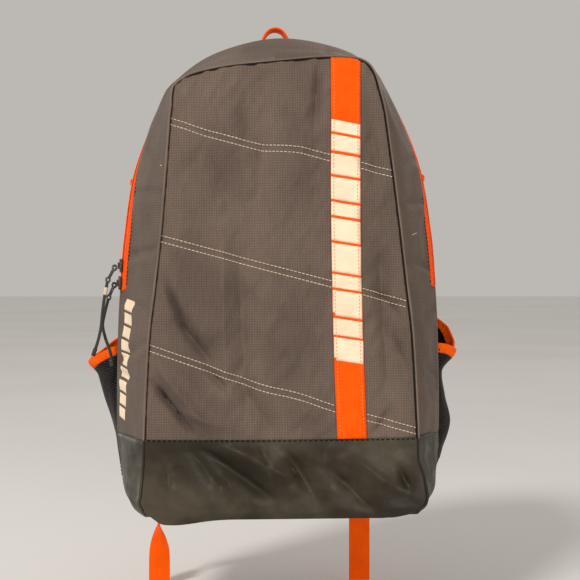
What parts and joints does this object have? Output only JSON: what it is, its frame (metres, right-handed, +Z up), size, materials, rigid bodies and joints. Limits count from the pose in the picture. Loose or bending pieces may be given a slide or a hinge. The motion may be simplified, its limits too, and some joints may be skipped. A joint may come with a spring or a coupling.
{
  "type": "backpack",
  "caption": "Soft youth backpack hanging from its haul loop, with a zipped front flap, coated boot, mesh side pockets, padded straps and webbing tails",
  "frame": {"origin": "seat of the haul loop, on the underside of its top bend, where a hook carries the bag", "axes": "+Z up the back of the bag, +X across it to the right as seen from the front, +Y towards the wearer's back"},
  "size_m": [0.3987, 0.252, 0.6402],
  "materials": {
    "panel_cloth": "matte",
    "coated_cloth": "satin",
    "orange_webbing": "matte",
    "zip_tape": "satin",
    "pocket_mesh": "matte",
    "pad_mesh": "matte",
    "strap_cloth": "matte",
    "piping_cord": "matte",
    "slider_metal": "satin",
    "pull_cord": "matte",
    "moulded_plastic": "satin",
    "stiffener_plastic": "matte"
  },
  "bodies": {
    "pack": {"adjust_webbing_left": "orange_webbing", "adjust_webbing_right": "orange_webbing", "anchor_wing_left": "coated_cloth", "anchor_wing_right": "coated_cloth", "back_pad_left": "pad_mesh", "back_pad_right": "pad_mesh", "back_panel": "panel_cloth", "base_board": "stiffener_plastic", "boot_base": "coated_cloth", "boot_front": "coated_cloth", "boot_side_left": "coated_cloth", "boot_side_right": "coated_cloth", "frame_sheet": "stiffener_plastic", "front_gusset_left_fold": "panel_cloth", "front_gusset_left_lower": "panel_cloth", "front_gusset_right_fold": "panel_cloth", "front_gusset_right_lower": "panel_cloth", "front_panel_fold": "panel_cloth", "front_panel_lower": "panel_cloth", "haul_loop": "orange_webbing", "piping_left_lower": "piping_cord", "piping_right_lower": "piping_cord", "pocket_binding_left": "orange_webbing", "pocket_binding_right": "orange_webbing", "rear_gusset_left": "panel_cloth", "rear_gusset_right": "panel_cloth", "rear_gusset_top": "panel_cloth", "side_loop_left": "orange_webbing", "side_loop_right": "orange_webbing", "side_pocket_left": "pocket_mesh", "side_pocket_right": "pocket_mesh", "stripe_lower": "orange_webbing", "yoke_patch": "coated_cloth", "zip_front_fold_left": "zip_tape", "zip_front_fold_right": "zip_tape", "zip_rear_half": "zip_tape"},
    "flap": {"front_panel_upper": "panel_cloth", "front_gusset_left_upper": "panel_cloth", "front_gusset_right_upper": "panel_cloth", "front_gusset_top": "panel_cloth", "zip_front_upper": "zip_tape", "piping_upper": "piping_cord", "stripe_upper": "orange_webbing"},
    "slider_upper_body": {"slider_upper": "slider_metal"},
    "slider_lower_body": {"slider_lower": "slider_metal"},
    "pull_upper_body": {"pull_tab_upper": "slider_metal", "pull_cord_upper": "pull_cord"},
    "pull_lower_body": {"pull_tab_lower": "slider_metal", "pull_cord_lower": "pull_cord"},
    "strap_left_body": {"shoulder_strap_left": "strap_cloth", "strap_webbing_left": "orange_webbing"},
    "lock_left_body": {"ladder_lock_left": "moulded_plastic"},
    "tail_left_body": {"strap_tail_left": "orange_webbing"},
    "strap_right_body": {"shoulder_strap_right": "strap_cloth", "strap_webbing_right": "orange_webbing"},
    "lock_right_body": {"ladder_lock_right": "moulded_plastic"},
    "tail_right_body": {"strap_tail_right": "orange_webbing"}
  },
  "joints": [
    {"name": "flap_hinge", "type": "hinge", "parent": "pack", "child": "flap", "pos_m": [0, -0.112, -0.297], "axis": [1, 0, 0], "range_deg": [0, 60], "deforming": ["front_panel_fold", "front_gusset_left_fold", "front_gusset_right_fold", "zip_front_fold_left", "zip_front_fold_right", "piping_left_lower", "piping_right_lower", "stripe_lower"]},
    {"name": "slider_upper_slide", "type": "slide", "parent": "pack", "child": "slider_upper_body", "axis": [0.0703, 0, 0.9975], "range_m": [0, 0.04]},
    {"name": "slider_lower_slide", "type": "slide", "parent": "pack", "child": "slider_lower_body", "axis": [0.061, 0, 0.9981], "range_m": [0, 0.0035]},
    {"name": "pull_upper_hinge", "type": "hinge", "parent": "slider_upper_body", "child": "pull_upper_body", "pos_m": [-0.1714, -0.1155, -0.27509], "axis": [0, 1, 0], "range_deg": [0, 90]},
    {"name": "pull_lower_hinge", "type": "hinge", "parent": "slider_lower_body", "child": "pull_lower_body", "pos_m": [-0.17255, -0.1085, -0.29332], "axis": [0, 1, 0], "range_deg": [0, 90]},
    {"name": "strap_left_hinge", "type": "hinge", "parent": "pack", "child": "strap_left_body", "pos_m": [-0.042, 0.0175, -0.069], "axis": [1, 0, 0], "range_deg": [0, 25], "deforming": ["adjust_webbing_left"]},
    {"name": "lock_left_hinge", "type": "hinge", "parent": "strap_left_body", "child": "lock_left_body", "pos_m": [-0.1035, 0.0455, -0.3855], "axis": [1, 0, 0], "range_deg": [0, 25]},
    {"name": "tail_left_hinge", "type": "hinge", "parent": "lock_left_body", "child": "tail_left_body", "pos_m": [-0.1035, 0.0455, -0.401], "axis": [1, 0, 0], "range_deg": [0, 30]},
    {"name": "strap_right_hinge", "type": "hinge", "parent": "pack", "child": "strap_right_body", "pos_m": [0.042, 0.0175, -0.069], "axis": [1, 0, 0], "range_deg": [0, 25], "deforming": ["adjust_webbing_right"]},
    {"name": "lock_right_hinge", "type": "hinge", "parent": "strap_right_body", "child": "lock_right_body", "pos_m": [0.1035, 0.0455, -0.3855], "axis": [1, 0, 0], "range_deg": [0, 25]},
    {"name": "tail_right_hinge", "type": "hinge", "parent": "lock_right_body", "child": "tail_right_body", "pos_m": [0.1035, 0.0455, -0.401], "axis": [1, 0, 0], "range_deg": [0, 30]}
  ]
}
